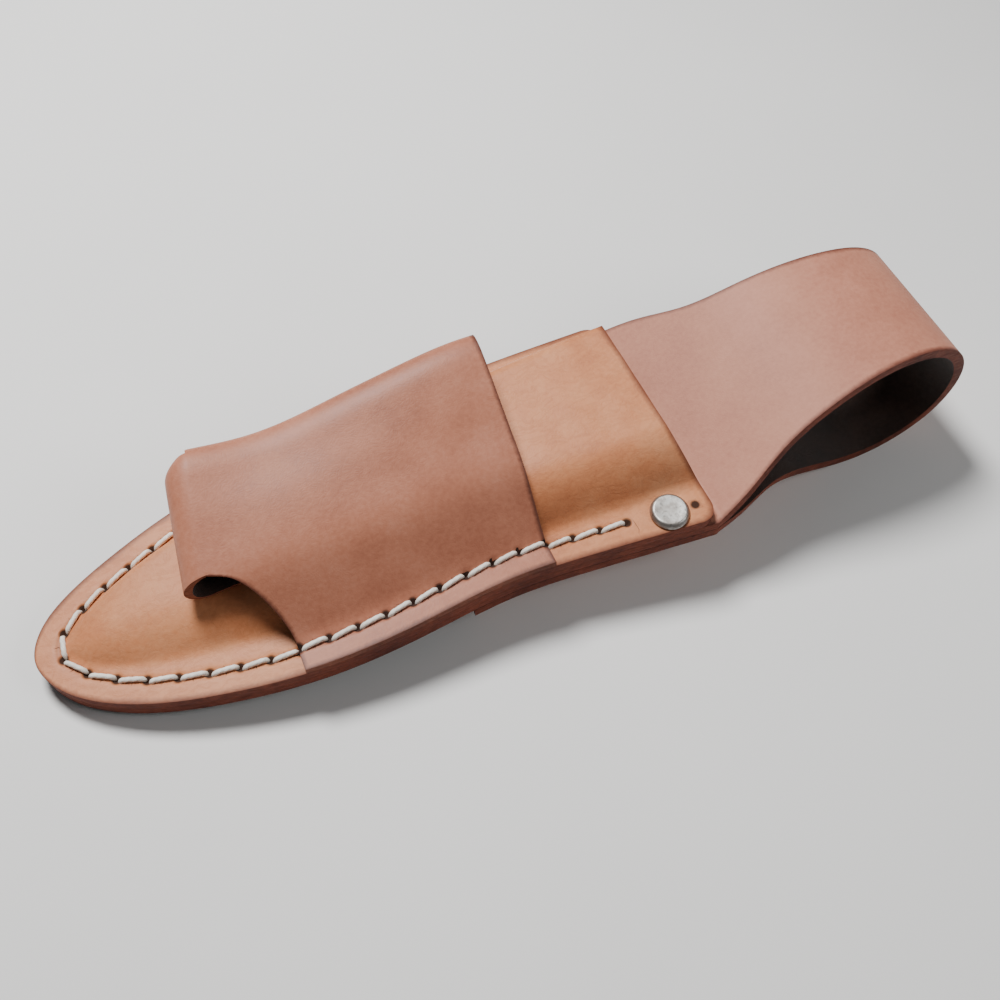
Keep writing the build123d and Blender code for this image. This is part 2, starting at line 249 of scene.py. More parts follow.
# places of seam holes by number: 0 is the near corner of the top pocket's mouth, around is the far one
def holeAt(number):
    return atLength(seamLine, sNear + np.asarray(number, float) * pitch)


toeHoles = (seam["pocketStitches"], around - seam["pocketStitches"])
tailHoles = (seam["tailStitches"], around - seam["tailStitches"])
print("seam:", lastHole - firstHole + 1, "holes", np.round(pitch, 3), "mm apart")


# For points in plan: place along the seam counted in stitches, and distance inside it. Each point goes to the
# nearest point of the seam, and its offset from there is split along and across the seam's direction.
def seamPlaces(x, y, atOnce=15000):
    p = np.stack([x.reshape(-1), y.reshape(-1)], -1)
    line, run = seamLine[::3], seamRun[::3]
    direction = np.gradient(line, axis=0)
    direction /= np.linalg.norm(direction, axis=1)[:, None]
    along, across = np.empty(len(p)), np.empty(len(p))
    for part in np.array_split(np.arange(len(p)), max(1, len(p) // atOnce)):
        near = ((p[part, None, :] - line[None]) ** 2).sum(-1).argmin(1)
        offset = p[part] - line[near]
        along[part] = run[near] + (offset * direction[near]).sum(-1)
        across[part] = direction[near, 1] * offset[:, 0] - direction[near, 0] * offset[:, 1]
    return ((along - sNear) / pitch).reshape(x.shape), across.reshape(x.shape)


# distances to the nearest hole, along the seam and across it, and far away where there is no hole
def holeLayers(along, across, first, last, flat):
    near = flat & (along > first - 0.3) & (along < last + 0.3)
    beside = np.where(near, (along - np.round(along)) * pitch, seam["away"])
    return beside, np.where(near, across, seam["away"])


# Depth that the thread has pressed into the leather, a groove along the seam and a pit at each hole. Each
# falls off as e to the minus square of the distance over its width.
def seamDents(along, across, first, last):
    beside = np.abs(along - np.round(along)) * pitch
    pitAcross, pitAlong = seam["pitWidth"]
    inside = fade(first - 0.2, first - 0.05, along) * (1 - fade(last + 0.05, last + 0.2, along))
    groove = np.exp(-((across / seam["grooveWidth"]) ** 2)) * seam["groove"]
    pit = np.exp(-((across / pitAcross) ** 2 + (beside / pitAlong) ** 2)) * seam["pit"]
    return (groove + pit) * inside


# rows of a sheet of leather, from its near edge over a middle line to its far edge

sheet = {
    "edgeSteps": [0, 0.9, 1.8, 2.9, 3.9, 4.5, 5.0, 5.5, 6.0, 6.6, 7.4, 8.4],   # mm in from either edge
    "middleSteps": 15,
    "step": 0.62,         # mm between rows along the seam
    "stop": -92.0,        # x where the middle line of the body ends, short of the toe
    "soft": 9.0,          # mm over which it slows down to that
    "middle": [(-92, 4.6), (-40, 3.6), (45, 2.5)],   # x and y of that line
}


# Columns lie at set distances in from each edge and are spread evenly between them, on two straight
# runs: from the near edge to the middle and from there to the far edge.
def acrossSheet(near, middle, far):
    edge = np.array(sheet["edgeSteps"])
    halves = []
    for side in (near, far):
        run = np.linalg.norm(middle - side, axis=1)[:, None]
        spread = edge[-1] + (run - edge[-1]) * np.linspace(0, 1, sheet["middleSteps"] + 1)[None, 1:]
        at = np.hstack([np.repeat(edge[None], len(near), 0), spread]) / run
        halves.append(side[:, None] + (middle - side)[:, None] * at[..., None])
    return np.concatenate([halves[0], halves[1][:, ::-1][:, 1:]], axis=1)


# Rows of the body from its mouth to the toe. A row joins the points at the same share of the near and the far
# edge's length, over a middle line. Its x goes with stop + (d + sqrt(d * d + soft * soft)) / 2, d being the
# mean x of the two points less stop.
def bodyRows(near, far):
    count = int(max(lengthAlong(near)[-1], lengthAlong(far)[-1]) / sheet["step"])
    share = np.linspace(0, 1, count)
    near = atLength(near, share * lengthAlong(near)[-1])
    far = atLength(far, share * lengthAlong(far)[-1])
    past = (near[:, 0] + far[:, 0]) / 2 - sheet["stop"]
    past = (past + np.hypot(past, sheet["soft"])) / 2
    x = sheet["stop"] + past * (mouthX - sheet["stop"]) / past[0]
    line = np.array(sheet["middle"])
    return acrossSheet(near, np.stack([x, np.interp(x, line[:, 0], line[:, 1])], -1), far)


# back panel, neck and belt loop: one strip

strap = {
    "nearEdge": -17.4,
    "farEdge": 20.4,
    # x, and how far of the way from body to strap the near and the far edge have come in
    "neck": [(55, 0.222, 0.233), (66, 0.563, 0.603), (80, 0.794, 0.808), (100, 0.952, 0.959)],
    "loopStart": 46.5,
    # x and z of the strip's middle line round the loop
    "loop": [(58, 7.6), (78, 17), (102, 20.6), (119, 14.2), (126.6, 0), (122.5, -14.5), (109, -21),
             (86, -14.6), (66, -4.8)],
    "pastLoop": 151.6,
    "wave": 0.25,         # how far the loop's leather is from even
    "waveSize": 60,
    "tailDent": 1.6,      # depth of the seam's dents below, as a share of those above
    "step": 0.9,
    "path": 0.05,         # mm between points of the path that the strip follows
    "run": (130, 150),    # mm of straight path before the loop and after it
}
middleHeight = body["leather"] / 2
tailMiddle = tailTop - middleHeight
loopCurve = splineThrough(
    [(strap["loopStart"], middleHeight)] + strap["loop"] + [(strap["loopStart"], tailMiddle)], 600)


# edge of the neck, in plan, from the body's mouth to past the loop
def neckEdge(start, end, shares):
    points = [(x, start + (end - start) * share) for (x, _, _), share in zip(strap["neck"], shares)]
    return splineThrough([(mouthX, start)] + points + [(strap["pastLoop"], end)], 400)


neckNear = neckEdge(mouthNear, strap["nearEdge"], [near for _, near, _ in strap["neck"]])
neckFar = neckEdge(mouthFar, strap["farEdge"], [far for _, _, far in strap["neck"]])


# y of the strip's near and far edge at x, on the body and on the neck
def planNear(x):
    return np.where(x > mouthX, np.interp(x, neckNear[:, 0], neckNear[:, 1]), nearEdge(x))


def planFar(x):
    return np.where(x > mouthX, np.interp(x, neckFar[:, 0], neckFar[:, 1]), farEdge(x))


# middle line of the strip in x and z, from beyond the toe round the loop and back under the body
before, after = strap["run"]
stripLine = atLength(
    np.vstack([[(-before, middleHeight)], loopCurve, [(-60, tailMiddle)]]),
    np.arange(0, before + lengthAlong(loopCurve)[-1] + after, strap["path"]))
stripTurn = np.gradient(stripLine, axis=0)
stripTurn /= np.linalg.norm(stripTurn, axis=1)[:, None]
even = np.ones(11) / 11
for repeat in range(2):    # the turn of a path with corners, smoothed over 0.5 mm
    stripTurn = np.stack([np.convolve(np.pad(stripTurn[:, c], 5, "edge"), even, "valid") for c in (0, 1)], -1)
stripAt = lengthAlong(stripLine) - before
stripLoop = lengthAlong(loopCurve)[-1] + strap["loopStart"]   # where the strip is flat again under the body


# The strip's surface: its middle line at that length, plus out times the line's direction turned a quarter
# round, with y as given.
def onStrip(length, y, out):
    lineX, lineZ, turnX, turnZ = (
        np.interp(length, stripAt, values) for values in (*stripLine.T, *stripTurn.T))
    return np.stack([lineX - turnZ * out, y, lineZ + turnX * out], -1)


# rows of the strap from the mouth round to its end, which runs straight between two of the seam's holes
def strapRows():
    ends = holeAt(tailHoles)
    tailRun = strap["loopStart"] - ends[:, 0]
    lengths = np.linspace(mouthX, stripLoop, int((stripLoop - mouthX) / strap["step"]))[1:]
    x = np.interp(lengths, stripAt, stripLine[:, 0])
    near = np.stack([lengths, planNear(x)], -1)
    far = np.stack([lengths, planFar(x)], -1)
    share = np.linspace(0, 1, int(tailRun.max() / strap["step"]))[1:, None]
    slope = (tailRun[1] - tailRun[0]) / (ends[1, 1] - ends[0, 1])
    nearRun, farRun = (
        tailRun[k] + slope * (edge(ends[k, 0]) - ends[k, 1]) for k, edge in enumerate((nearEdge, farEdge)))
    tailNear = np.hstack([stripLoop + share * nearRun, nearEdge(strap["loopStart"] - share * nearRun)])
    tailFar = np.hstack([stripLoop + share * farRun, farEdge(strap["loopStart"] - share * farRun)])
    near, far = np.vstack([near, tailNear]), np.vstack([far, tailFar])
    middle = (near + far) / 2
    middle[:, 1] = np.interp(near[:, 0], [mouthX, mouthX + 40], [sheet["middle"][-1][1], 1.5])
    return acrossSheet(near, middle, far)


# The back panel's outer face is the strip's surface half a thickness out, less the seam's dents on its tail,
# with a slow wave on the loop.
def buildBackPanel(materials):
    rows = np.concatenate([bodyRows(nearLine, farLine)[::-1], strapRows()])
    length, y = rows[..., 0], rows[..., 1]
    spots = onStrip(length, y, middleHeight)
    # under the body the stitches lie in a groove
    along, across = seamPlaces(spots[..., 0], y)
    under = fade(stripLoop - 2, stripLoop, length)
    dent = seamDents(along, across, firstSewn, lastHole) * under * strap["tailDent"]
    onLoop = fade(50, 75, length) * (1 - fade(stripLoop - 30, stripLoop, length))
    wave = (unevenness(length, y, strap["waveSize"], 11) - 0.8) * strap["wave"] * onLoop
    spots = onStrip(length, y, middleHeight - dent + wave)
    edgeNear = np.minimum(y - planNear(spots[..., 0]), planFar(spots[..., 0]) - y)
    beside, onSeam = holeLayers(along, across, firstSewn, lastHole, under > 0.5)
    piece = gridPiece("backLeather", spots, layers={
        "edgeNear": edgeNear, "seamBeside": beside, "seamAcross": onSeam}, join=True)
    makeLeather(piece, body["leather"], 0.7, materials)
    register(piece, "back_panel")
    print("back panel and belt loop:", len(piece.data.vertices), "points")
    return piece


# the moulded front pocket

moulding = {
    # x, distance in from the near and the far seam, height above the flange
    "places": [(47, 6.18, 0.9, 11.6), (27, 4.94, 1.4, 11.2), (7, 4.4, 2.0, 10.5), (-13, 5, 3.6, 9.3),
               (-33, 6.78, 3.95, 8.4), (-53, 7.72, 3.83, 7.5), (-71, 7.16, 3.4, 6.3), (-87, 5.6, 2.6, 5.3),
               (-98, 4.4, 2.4, 3.6), (-103.5, 3.6, 2.6, 1.7), (-107.5, 4, 3, 0)],
    "nearWall": (13.5, 2.2),     # width of the rise from the near side, and how quickly it levels off
    "farWall": (3.4, 2.6),
    "widest": (0.6, 0.3),        # share of the whole width that either wall may take
    "foot": 0.05,                # softness of the turn from the flange into the wall
    "footOut": 0.6,              # mm that the turn starts outside the foot line
    "lean": 19.0,                # degrees that the mouth leans back as it rises
    "unevenness": (0.22, 0.10),  # broad, and small on the raised part
}


# The raised middle rises from a foot line on either side as 1 - (1 - t) ** power, t being the share of the
# wall's width, so it is steep at the foot and level at the top.
def mouldedHeight(x, y):
    places = np.array(moulding["places"])[::-1]
    onSeam = np.minimum(x, mouthX - 1)
    fine = np.linspace(toeTip + seam["inset"] + 0.05, mouthX - 1, 500)
    seamNear = np.interp(fine, seamLine[onNear][::-1, 0], seamLine[onNear][::-1, 1])
    seamFar = np.interp(fine, seamLine[~onNear, 0], seamLine[~onNear, 1])
    near = np.interp(onSeam, fine, seamNear) + np.interp(x, places[:, 0], places[:, 1])
    far = np.interp(onSeam, fine, seamFar) - np.interp(x, places[:, 0], places[:, 2])
    smooth = splineThrough(places[:, [0, 3]] * (1, 10), 400) / (1, 10)
    height = np.maximum(np.interp(x, smooth[:, 0], smooth[:, 1]), 0)
    width = np.maximum(far - near, 1)

    def rise(t, power):
        soft = (t + np.sqrt(t * t + moulding["foot"] ** 2)) / 2
        soft = soft * (1 - fade(0.5, 1.2, -t * 3))
        return 1 - (1 - np.minimum(soft, 1)) ** power

    for inside, wall, widest in ((y - near, "nearWall", 0), (far - y, "farWall", 1)):
        wallWidth, power = moulding[wall]
        wallWidth = np.minimum(wallWidth, width * moulding["widest"][widest])
        height = height * rise((inside + moulding["footOut"]) / wallWidth, power)
    return height


# The front pocket's outer face is the flange's height plus the raised middle and a little unevenness, less
# the seam's dents.
def buildFrontPocket(materials):
    rows = bodyRows(nearLine, farLine)
    x, y = rows[..., 0], rows[..., 1]
    edgeNear = np.minimum.reduce([y - nearEdge(x), farEdge(x) - y, mouthX - x])
    # The mouth's two square corners are drawn in to quarter circles. With u and v the shares of the way from
    # a circle's centre to the mouth and to the side: u * sqrt(1 - v * v / 2) and v * sqrt(1 - u * u / 2).
    corner = body["corner"]
    for side, edge in ((-1, nearEdge), (1, farEdge)):
        u = np.clip((x - mouthX) / corner + 1, 0, 1)
        v = np.clip(side * (y - edge(x)) / corner + 1, 0, 1)
        roundU, roundV = np.sqrt(1 - v**2 / 2), np.sqrt(1 - u**2 / 2)
        fromArc = corner * (1 - np.hypot(u * roundU, v * roundV))
        edgeNear = np.where((u > 0) & (v > 0), fromArc, edgeNear)
        x = x + corner * u * (roundU - 1)
        y = y + side * corner * v * (roundV - 1)
    height = mouldedHeight(x, y)
    along, across = seamPlaces(x, y)
    raised = fade(0.5, 3, height)
    z = flange + height - seamDents(along, across, firstSewn, lastHole)
    broad, small = moulding["unevenness"]
    z = z + unevenness(x, y, 45, 3) * broad * (0.4 + 0.6 * raised)
    z = np.where(height > 6, z + unevenness(x, y, 16, 4) * small, z)
    lean = height * math.tan(math.radians(moulding["lean"])) * fade(mouthX - 30, mouthX, x)
    beside, onSeam = holeLayers(along, across, firstSewn, lastHole, height < 0.8)
    spare = np.hypot(x - seam["spareHole"][0], y - seam["spareHole"][1])
    beside = np.where(spare < seam["spareReach"], spare, beside)
    onSeam = np.where(spare < seam["spareReach"], 0, onSeam)
    piece = gridPiece("frontPocketLeather", np.stack([x - lean, y, z], -1), flip=True, layers={
        "edgeNear": edgeNear, "seamBeside": beside, "seamAcross": onSeam}, join=True)
    makeLeather(piece, body["leather"] - 0.05, 0.8, materials)
    register(piece, "front_pocket")
    print("front pocket:", len(piece.data.vertices), "points")
    return piece


# the pocket on top, with its folded bottom

topPocket = {
    # outer surface across the pocket, y and z, between the flanges
    "section": [(-21.5, 8.0), (-19.6, 8.1), (-18.0, 8.9), (-15.7, 10.8), (-10.2, 15.8), (-4.1, 20.5),
                (3.9, 23.4), (11.2, 25.6), (18.7, 27.6), (24.3, 28.6), (27.8, 27.7), (29.6, 24.6),
                (30.1, 18.0), (30.3, 11.5), (31.2, 8.8), (32.6, 8.1), (33.4, 8.0)],
    "flangeSteps": (11, 5),     # columns on the near and the far flange
    "mouthNear": (3.0, -19.4),
    "mouthFar": (6.5, 30.1),
    # where its toe end is cut, y and x, up to where the fold starts
    "end": [(-30, -59.6), (-22, -59.4), (-19.4, -59.2), (-16, -59.5), (-12.8, -60.6), (-9.9, -62.0),
            (-7, -63.9), (-4.4, -66.2), (-2.6, -68.9), (-1.5, -71.8)],
    "farEnd": -56.4,            # x of the far flange's end
    "foldSlant": 11.0,          # degrees between the fold and a line across the pocket
    "foldRound": (23.0, 27.7),  # y where the fold's far end starts to round off, and where it is closed
    "foldTo": 27.3,             # y of the last column that is folded
    "foldRadius": (6.1, 4.9),   # along the pocket and in height
    "foldUnder": 24.0,          # how far the leather runs back under the roof
    "foldRise": 0.04,           # and how much it rises there, as a share
    # the roof's far side falls and rises again along the pocket: x and by how much
    "farDip": [(-78, 0.6), (-70, 0.2), (-62, -0.9), (-54, -1.9), (-46, -2.1), (-36, -1.4), (-28, -0.5),
               (-20, 0.4), (-10, 1.4), (2, 1.9), (8, 1.7)],
    "unevenness": 0.3,
    "footIn": 2.2,              # from the far seam in to the foot of the far wall
    "foot": (30.3, 11.0, 25.0),  # y of that foot in the section, and heights between which the wall leans out
    "rows": 129,
    "step": 0.62,
}


# Columns of the pocket, from its near to its far edge: y and z at x = 0, with the flanges ending at the
# body's edges, and the x of each column's mouth and end. The fold's columns end on its slanted line.
def pocketColumns():
    t = topPocket
    curve = splineThrough(t["section"], 600)
    section = atLength(curve, np.arange(0, lengthAlong(curve)[-1], t["step"]))
    nearShare = np.linspace(0, 1, t["flangeSteps"][0] + 1)[:-1]
    farShare = np.linspace(0, 1, t["flangeSteps"][1] + 1)[1:]
    nearY = nearEdge(0.0) + (section[0, 0] - nearEdge(0.0)) * nearShare
    farY = section[-1, 0] + (farEdge(0.0) - section[-1, 0]) * farShare
    y = np.concatenate([nearY, section[:, 0], farY])
    z = np.pad(section[:, 1], (len(nearY), len(farY)), constant_values=topFlange)
    mouth = np.interp(y, [t["mouthNear"][1], t["mouthFar"][1]], [t["mouthNear"][0], t["mouthFar"][0]])
    cut = splineThrough(t["end"], 200)
    foldY, foldX = t["end"][-1]
    folded = (y >= foldY - 0.3) & (y <= t["foldTo"]) & (np.arange(len(y)) < len(y) * 0.8)
    onFold = foldX + (y - foldY) * math.tan(math.radians(t["foldSlant"]))
    end = np.where(y < foldY, np.interp(y, cut[:, 0], cut[:, 1]), onFold)
    # past the fold the end runs smoothly to the far flange's
    across = lengthAlong(np.stack([y, z], -1))
    last = int(np.flatnonzero(folded)[-1])
    beyond = end[last] + (t["farEnd"] - end[last]) * fade(across[last], across[-1] - 4, across)
    end = np.where(np.arange(len(y)) > last, beyond, end)
    return section, nearShare, farShare, z, mouth, end, folded


# The fold's bottom, as steps in x and z from the roof's end: half an ellipse, then straight back below it.
def foldSteps():
    wide, high = topPocket["foldRadius"]
    turn = np.linspace(0, math.pi, int(math.pi * wide / topPocket["step"]) + 1)[1:]
    back = np.arange(1, int(topPocket["foldUnder"] / topPocket["step"])) * topPocket["step"]
    stepX = np.concatenate([-np.sin(turn) * wide, back])
    stepZ = np.concatenate([(np.cos(turn) - 1) * high, back * topPocket["foldRise"] - 2 * high])
    return stepX[:, None], stepZ[:, None]


# The top pocket's outer face is its section carried from mouth to end, with the far wall's foot beside the
# seam, the roof's far side dipping, and the fold hung on its end.
def buildTopPocket(materials):
    t = topPocket
    section, nearShare, farShare, height, mouth, end, folded = pocketColumns()
    x = mouth + (end - mouth) * np.linspace(0, 1, t["rows"])[:, None]
    y = np.empty_like(x)
    first, past = len(nearShare), x.shape[1] - len(farShare)
    footY, footLow, footHigh = t["foot"]
    leans = (1 - fade(footLow, footHigh, section[:, 1])) * fade(18, 28, section[:, 0])
    farSeam = np.interp(x, seamLine[~onNear, 0], seamLine[~onNear, 1])
    y[:, first:past] = section[:, 0] + (farSeam[:, first:past] - t["footIn"] - footY) * leans
    near = nearEdge(x[:, :first])
    y[:, :first] = near + (section[0, 0] - near) * nearShare
    wallEnd = y[:, past - 1:past]
    y[:, past:] = wallEnd + (farEdge(x[:, past:]) - wallEnd) * farShare
    z = np.repeat(height[None], t["rows"], 0)
    along, across = seamPlaces(x, y)
    onFlange = 1 - fade(0.3, 1.5, z - topFlange)
    for start, stop in ((0, toeHoles[0]), (toeHoles[1], around)):
        z = z - seamDents(along, across, start - 0.4, stop + 0.4) * onFlange
    z = z + unevenness(x, y, 38, 21) * t["unevenness"] * (1 - onFlange)
    dip = splineThrough(t["farDip"], 300)
    dip = np.interp(x, dip[:, 0], dip[:, 1]) * fade(2, 24, y) * fade(2, 14, z - topFlange)
    y, z = y + dip * 0.5, z + dip
    beside, across = holeLayers(along, across, 0, around, z < topFlange + 0.8)
    stepX, stepZ = foldSteps()
    roundFrom, roundTo = t["foldRound"]
    rounding = np.sqrt(1 - np.clip((y[-1] - roundFrom) / (roundTo - roundFrom), 0, 1) ** 2)
    fullX = np.vstack([x, x[-1] + stepX * np.where(stepX < 0, rounding, 1)])
    fullY = np.vstack([y, np.repeat(y[-1:], len(stepX), 0)])
    fullZ = np.vstack([z, z[-1] + stepZ])
    keep = np.ones((len(fullX) - 1, x.shape[1] - 1), bool)
    keep[t["rows"] - 1:] = folded[:-1] & folded[1:]
    edgeNear = np.minimum.reduce([fullY - nearEdge(fullX), farEdge(fullX) - fullY, mouth - fullX])
    edgeNear = np.minimum(edgeNear, np.where(fullY < t["end"][-1][0] + 0.1, np.abs(fullX - end), 99))
    grow = ((0, len(stepX)), (0, 0))
    piece = gridPiece("topPocketLeather", np.stack([fullX, fullY, fullZ], -1), keep=keep, flip=True, layers={
        "edgeNear": edgeNear, "seamBeside": np.pad(beside, grow),
        "seamAcross": np.pad(across, grow, constant_values=seam["away"])}, join=True)
    makeLeather(piece, body["topLeather"], 0.5, materials)
    register(piece, "overlay_pocket")
    print("top pocket:", len(piece.data.vertices), "points")
    return piece


# the stitches, above and below the leather

stitch = {
    "radius": 0.6,
    "plies": 3,
    "plyDepth": 0.13,
    "plySwell": 1.3,
    "turns": 1.5,         # of the twist along one stitch
    "rise": 0.42,         # of the thread's middle above the leather
    "dip": 1.5,           # into the hole at its ends
    "flatness": 5,        # how long the stitch stays up between its ends
    "fromHole": 0.10,     # share of the stitch's length from a hole's middle to where the thread goes in
    "ease": 0.07,         # how much closer its points are near the ends
    "slant": 0.42,        # sideways, to either side of the seam
    "uneven": (0.07, 0.06),       # in slant, mm, and in rise, share
    "along": 22,
    "round": 16,
    "level": (0.05, 1.15),        # how deep the upper and the lower thread lie in the leather
}


# One stitch is a path from hole to hole that dips in at both ends, and its skin is a circle round the path
# whose radius swells where a ply lies: radius * (1 - depth + depth * swell * |cos|), turning along the path.
def buildStitches(name, node, heightOf, side, material):
    draw = np.random.default_rng(31 if side > 0 else 32)
    numbers = np.arange(firstSewn, lastHole)
    count, steps, ring = len(numbers), stitch["along"], stitch["round"]
    unevenSlant, unevenRise = stitch["uneven"]
    start, finish = holeAt(numbers), holeAt(numbers + 1)
    ahead = finish - start
    ahead /= np.linalg.norm(ahead, axis=1)[:, None]
    beside = np.stack([-ahead[:, 1], ahead[:, 0]], -1)
    t = np.linspace(0, 1, steps)
    eased = t - stitch["ease"] * np.sin(2 * math.pi * t)
    travel = stitch["fromHole"] + (1 - 2 * stitch["fromHole"]) * eased
    arch = np.clip(1 - np.abs(2 * t - 1) ** stitch["flatness"], 0, 1)
    lift = -stitch["dip"] + (stitch["dip"] + stitch["rise"]) * arch
    slant = (stitch["slant"] + draw.normal(0, unevenSlant, count))[:, None] * np.linspace(-1, 1, steps)
    flat = start[:, None] + (finish - start)[:, None] * travel[None, :, None]
    flat = flat + beside[:, None] * slant[..., None]
    up = heightOf(numbers)[:, None] + side * (lift * (1 + draw.normal(0, unevenRise, count))[:, None])
    path = np.concatenate([flat, up[..., None]], -1)
    ahead = np.gradient(path, axis=1)
    ahead /= np.linalg.norm(ahead, axis=2)[..., None]
    across = np.concatenate([beside, np.zeros((count, 1))], 1)[:, None] + 0 * path
    above = np.cross(ahead, across)
    angle = np.linspace(0, 2 * math.pi, ring, endpoint=False)
    phase = draw.uniform(0, 6.28, count)[:, None, None]
    twist = stitch["turns"] * 2 * math.pi * t[None, :, None] + phase
    swell = np.abs(np.cos((angle * stitch["plies"] + twist * stitch["plies"]) / 2))
    radius = stitch["radius"] * (1 - stitch["plyDepth"] + stitch["plyDepth"] * stitch["plySwell"] * swell)
    outward = across[:, :, None] * np.cos(angle)[:, None] + above[:, :, None] * np.sin(angle)[:, None]
    skin = path[:, :, None] + radius[..., None] * outward
    points = np.concatenate([skin.reshape(count, -1, 3), path[:, [0, -1]]], 1).reshape(-1, 3)
    # quads of each tube, and the fans that close its ends round one more point each
    quads = gridQuads(steps, ring, tube=True)[:, [0, 3, 2, 1]]
    first = np.arange(ring)
    after = np.roll(first, -1)
    last = (steps - 1) * ring
    fans = np.concatenate([
        np.stack([np.full(ring, steps * ring), after, first], -1),
        np.stack([np.full(ring, steps * ring + 1), last + first, last + after], -1)])
    offset = (np.arange(count) * (steps * ring + 2))[:, None, None]
    faces = (quads + offset).reshape(-1, 4).tolist() + (fans + offset).reshape(-1, 3).tolist()
    mesh = bpy.data.meshes.new(name)
    mesh.from_pydata(toRow(points), [], faces)
    plyAt = np.concatenate([swell.reshape(count, -1), np.ones((count, 2))], 1).reshape(-1)
    archAt = np.concatenate([np.tile(np.repeat(arch, ring), (count, 1)), np.zeros((count, 2))], 1).reshape(-1)
    mesh.attributes.new("ply", "FLOAT", "POINT").data.foreach_set("value", plyAt)
    mesh.attributes.new("outOfHole", "FLOAT", "POINT").data.foreach_set("value", archAt)
    mesh.materials.append(material)
    piece = smoothPiece(name, mesh)
    makeOutward(piece)
    register(piece, node)
    print(name + ":", count, "stitches")
    return piece


# turns the faces of a closed skin outwards
def makeOutward(piece):
    shape = bmesh.new()
    shape.from_mesh(piece.data)
    bmesh.ops.recalc_face_normals(shape, faces=shape.faces)
    shape.to_mesh(piece.data)
    shape.free()


# height of the leather's upper face at each stitch, on the top pocket's flange or on the front pocket's
def aboveAt(numbers):
    onTop = ((numbers >= 0) & (numbers < toeHoles[0])) | ((numbers >= toeHoles[1]) & (numbers < around))
    return np.where(onTop, topFlange, flange) - stitch["level"][0]


# and of the lower face, under the tail or under the back panel
def belowAt(numbers):
    underTail = (numbers < tailHoles[0]) | (numbers >= tailHoles[1])
    return np.where(underTail, tailMiddle - middleHeight, 0) + stitch["level"][1]


# the rivet's cap; its post keeps its CAD shape

rivet = {
    "x": 34.2,
    "shift": -0.6,        # of its middle, in y from the seam
    "gap": 0.1,           # below it
    # radius and height of the cap's skin, from the middle of its top down to its rim
    "cap": [(0, 1.58), (2.2, 1.6), (3.55, 1.66), (3.95, 1.66), (4.25, 1.5), (4.62, 1.05), (4.85, 0.62),
            (4.88, 0.3), (4.78, 0.05), (4.6, 0.0), (2.0, 0.0), (0, 0.0)],
    "between": 3,         # rings from one of these points to the next
    "round": 96,
}


# the cap's profile, turned round its axis
def buildRivetCap(material):
    number = np.interp(-rivet["x"], -seamLine[onNear, 0], seamRun[onNear])
    centre = atLength(seamLine, number) + (0, rivet["shift"])
    profile = np.array(rivet["cap"])
    point = np.arange(len(profile))
    fine = np.linspace(0, len(profile) - 1, (len(profile) - 1) * rivet["between"] + 1)
    radius, height = (np.interp(fine, point, profile[:, k])[:, None] for k in (0, 1))
    angle = np.linspace(0, 2 * math.pi, rivet["round"], endpoint=False)
    rings = np.stack([radius * np.cos(angle) + centre[0], radius * np.sin(angle) + centre[1],
                      flange + rivet["gap"] + height + 0 * angle], -1)
    piece = gridPiece("rivetCap", rings, tube=True, join=True, layers={"rimNear": radius + 0 * angle})
    makeOutward(piece)
    piece.data.materials.append(material)
    register(piece, "rivet_cap")
    print("rivet cap at", np.round(centre, 2))
    return piece


# Colours as they look, 0 to 255, to the values that shaders take: a share of 255 above 0.04 becomes
# ((share + 0.055) / 1.055) to the power 2.4, and below it share / 12.92.
def shade(red, green, blue):
    c = np.array([red, green, blue]) / 255
    c = np.where(c <= 0.04045, c / 12.92, ((c + 0.055) / 1.055) ** 2.4)
    return (float(c[0]), float(c[1]), float(c[2]), 1.0)


# adds a node, sets its sockets by name and its properties, and links what is given as a socket
def node(tree, kind, inputs=None, **settings):
    made = tree.nodes.new(kind)
    for key, value in settings.items():
        setattr(made, key, value)
    for key, value in (inputs or {}).items():
        if isinstance(value, bpy.types.NodeSocket):
            tree.links.new(value, made.inputs[key])
        else:
            made.inputs[key].default_value = value
    return made


# a Math node's result
def maths(tree, operation, a, b=0.0, clamp=False):
    return node(tree, "ShaderNodeMath", {0: a, 1: b}, operation=operation, use_clamp=clamp).outputs[0]


# a mix of two colours
def blendColour(tree, factor, a, b, kind="MIX"):
    made = tree.nodes.new("ShaderNodeMix")
    made.data_type = "RGBA"
    made.blend_type = kind
    for socket, value in ((made.inputs[0], factor), (made.inputs[6], a), (made.inputs[7], b)):
        if isinstance(value, bpy.types.NodeSocket):
            tree.links.new(value, socket)
        else:
            socket.default_value = value
    return made.outputs[2]


# a value carried from one range to another, and clamped there
def remap(tree, value, low, high, toLow=0.0, toHigh=1.0):
    return node(tree, "ShaderNodeMapRange", {0: value, 1: low, 2: high, 3: toLow, 4: toHigh}).outputs[0]


# an empty node group with its sockets
def newGroup(name, inputs, outputs):
    group = bpy.data.node_groups.new(name, "ShaderNodeTree")
    for socket, kind, value in inputs:
        made = group.interface.new_socket(name=socket, in_out="INPUT", socket_type="NodeSocket" + kind)
        if value is not None:
            made.default_value = value
    for socket, kind in outputs:
        group.interface.new_socket(name=socket, in_out="OUTPUT", socket_type="NodeSocket" + kind)
    enter = group.nodes.new("NodeGroupInput")
    leave = group.nodes.new("NodeGroupOutput")
    return group, enter.outputs, leave.inputs


# puts a node group into a material, with its values
def place(tree, group, **inputs):
    made = tree.nodes.new("ShaderNodeGroup")
    made.node_tree = group
    for key, value in inputs.items():
        if isinstance(value, bpy.types.NodeSocket):
            tree.links.new(value, made.inputs[key])
        else:
            made.inputs[key].default_value = value
    return made.outputs


